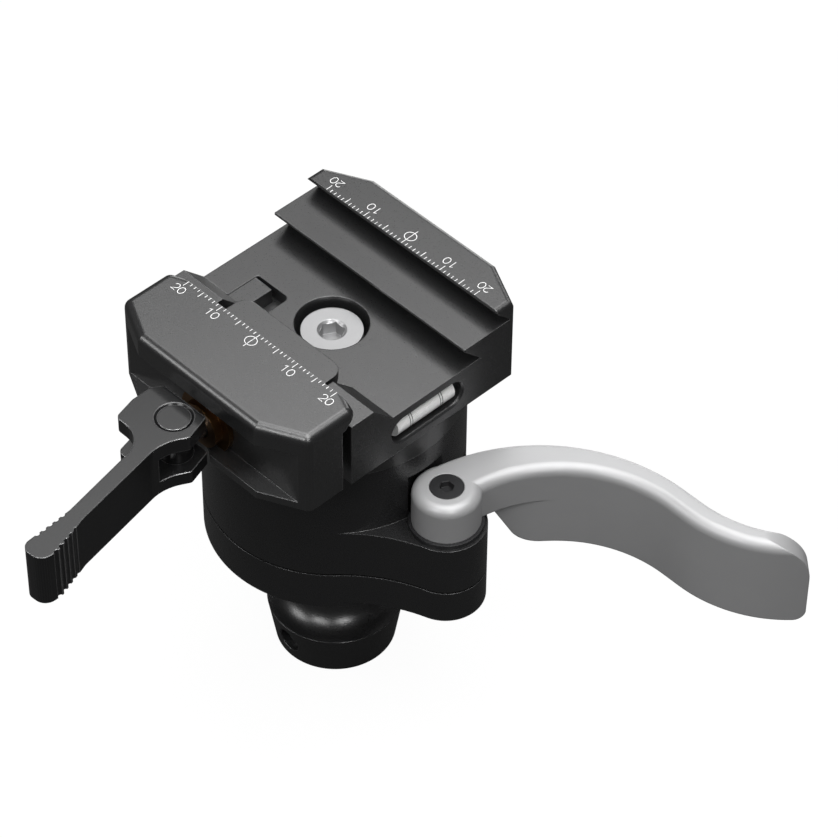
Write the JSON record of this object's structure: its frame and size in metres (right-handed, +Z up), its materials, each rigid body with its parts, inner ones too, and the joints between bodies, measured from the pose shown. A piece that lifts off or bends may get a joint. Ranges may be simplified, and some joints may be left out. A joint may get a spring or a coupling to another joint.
{
  "type": "tripod ball head",
  "caption": "Tripod ball head with a cam-lever quick-release clamp for wide and narrow dovetails, a side lock lever, an end spirit level and a tapped foot.",
  "frame": {"origin": "bottom centre of the foot collar, on the main axis", "axes": "+Z up along the neck and ball axis, X along the jaws, -Y towards the sliding jaw and its lever, +X towards the lock lever and the level"},
  "size_m": [0.1117, 0.1171, 0.0915],
  "materials": {
    "anodised": "satin black anodised, fine blasted grain",
    "silver": "bead-blasted natural silver",
    "steel": "bright machined steel",
    "dark_steel": "black oxide steel",
    "brass": "plain brass",
    "lining": "plain polymer lining",
    "vial_white": "white setting compound",
    "vial_glass": "clear",
    "vial_liquid": "pale clear liquid"
  },
  "bodies": {
    "foot": {"ball_stem": "anodised", "base_collar": "anodised", "collar_set_screw": "dark_steel"},
    "cup": {"pressure_cup": "lining"},
    "seat": {"lower_seat": "lining"},
    "head": {"housing": "anodised", "lower_cover": "anodised", "cover_screws": "dark_steel", "thrust_washer": "steel", "clamp_base": "anodised", "clamp_screw": "steel", "locating_pins": "steel", "vial_bed": "vial_white", "level_vial": "vial_glass", "level_liquid": "vial_liquid", "draw_rod": "steel", "barrel_nut": "dark_steel", "guide_pins": "steel", "jaw_springs": "steel"},
    "jaw": {"sliding_jaw": "anodised", "cam_saddle": "brass"},
    "cam": {"clamp_lever": "anodised"},
    "lock": {"lock_lever": "silver", "lever_screw": "dark_steel", "clamp_bolt": "steel"},
    "stop": {"recoil_stop": "anodised"}
  },
  "joints": [
    {"name": "ball_swivel", "type": "hinge", "parent": "foot", "child": "cup", "pos_m": [0, 0, 0.04215], "axis": [0, 0, 1], "continuous": true},
    {"name": "ball_tilt", "type": "hinge", "parent": "cup", "child": "seat", "pos_m": [0, 0, 0.04215], "axis": [0, 1, 0], "range_deg": [-33, 33]},
    {"name": "ball_pan", "type": "hinge", "parent": "seat", "child": "head", "pos_m": [0, 0, 0.04215], "axis": [0, 0, 1], "continuous": true},
    {"name": "clamp_lever_turn", "type": "hinge", "parent": "head", "child": "cam", "pos_m": [0, -0.0382, 0.0793], "axis": [0, 0, 1], "range_deg": [0, 90]},
    {"name": "jaw_slide", "type": "slide", "parent": "head", "child": "jaw", "axis": [0, 1, 0], "range_m": [0, 0.001], "deforming": ["jaw_springs"]},
    {"name": "lock_lever_turn", "type": "hinge", "parent": "head", "child": "lock", "pos_m": [0.0303, 0, 0.0542], "axis": [0, 0, 1], "range_deg": [-100, 7]},
    {"name": "stop_rise", "type": "slide", "parent": "head", "child": "stop", "axis": [0, 0, 1], "range_m": [0, 0.0025]}
  ],
  "couplings": [
    {"joint": "clamp_lever_turn", "follows": "jaw_slide", "rad_per_m": 1570.8}
  ]
}
